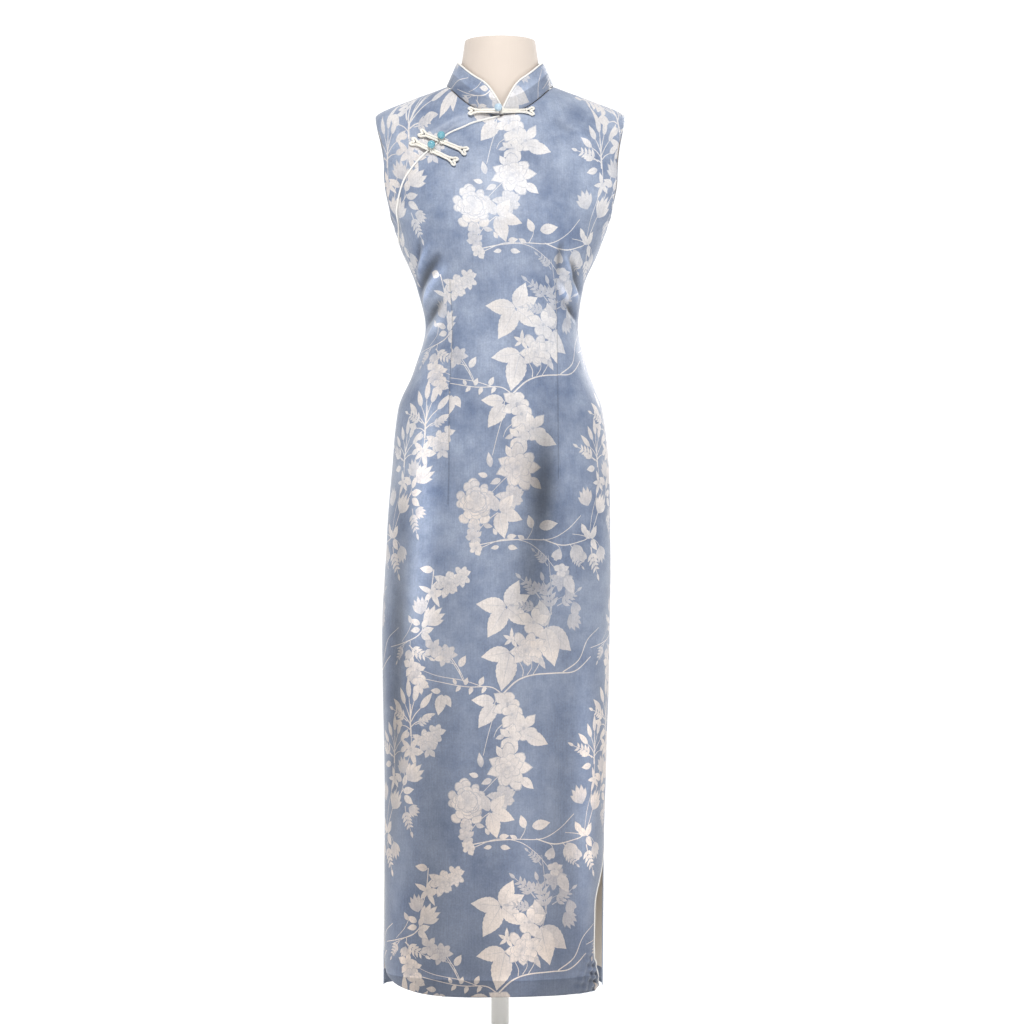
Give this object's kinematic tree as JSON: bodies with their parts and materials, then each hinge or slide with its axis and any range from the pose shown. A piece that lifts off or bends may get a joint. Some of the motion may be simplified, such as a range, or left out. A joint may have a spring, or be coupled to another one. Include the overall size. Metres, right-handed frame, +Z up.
{
  "type": "cheongsam dress on a dress form",
  "caption": "Long sleeveless cheongsam in floral blue silk with a mandarin collar, curved piped opening, knotted closures and side slits, worn by a cream limbless dress form on a round stand.",
  "frame": {"origin": "on the floor under the middle of the stand's round base", "axes": "+Z up; the wearer faces -Y, so the front of the dress is towards -Y and the wearer's left side is towards +X"},
  "size_m": [0.4, 0.4, 1.4575],
  "materials": {
    "printed_silk": "satin",
    "cream_piping": "satin",
    "cream_cord": "satin",
    "turquoise_bead": "polished",
    "form_cover": "matte",
    "form_metal": "satin"
  },
  "bodies": {
    "root": {"dress_front": "printed_silk", "dress_front_underlap": "printed_silk", "dress_back": "printed_silk", "collar": "printed_silk", "collar_piping": "cream_piping", "opening_piping": "cream_piping", "slit_piping_left": "cream_piping", "slit_piping_right": "cream_piping", "closure_neck_loop": "cream_cord", "closure_neck_knot": "cream_cord", "closure_neck_bead": "turquoise_bead", "closure_upper_loop": "cream_cord", "closure_upper_knot": "cream_cord", "closure_upper_bead": "turquoise_bead", "closure_lower_loop": "cream_cord", "closure_lower_knot": "cream_cord", "closure_lower_bead": "turquoise_bead", "form_torso": "form_cover", "form_flange": "form_metal", "form_pole": "form_metal", "form_base": "form_metal"}
  },
  "joints": []
}
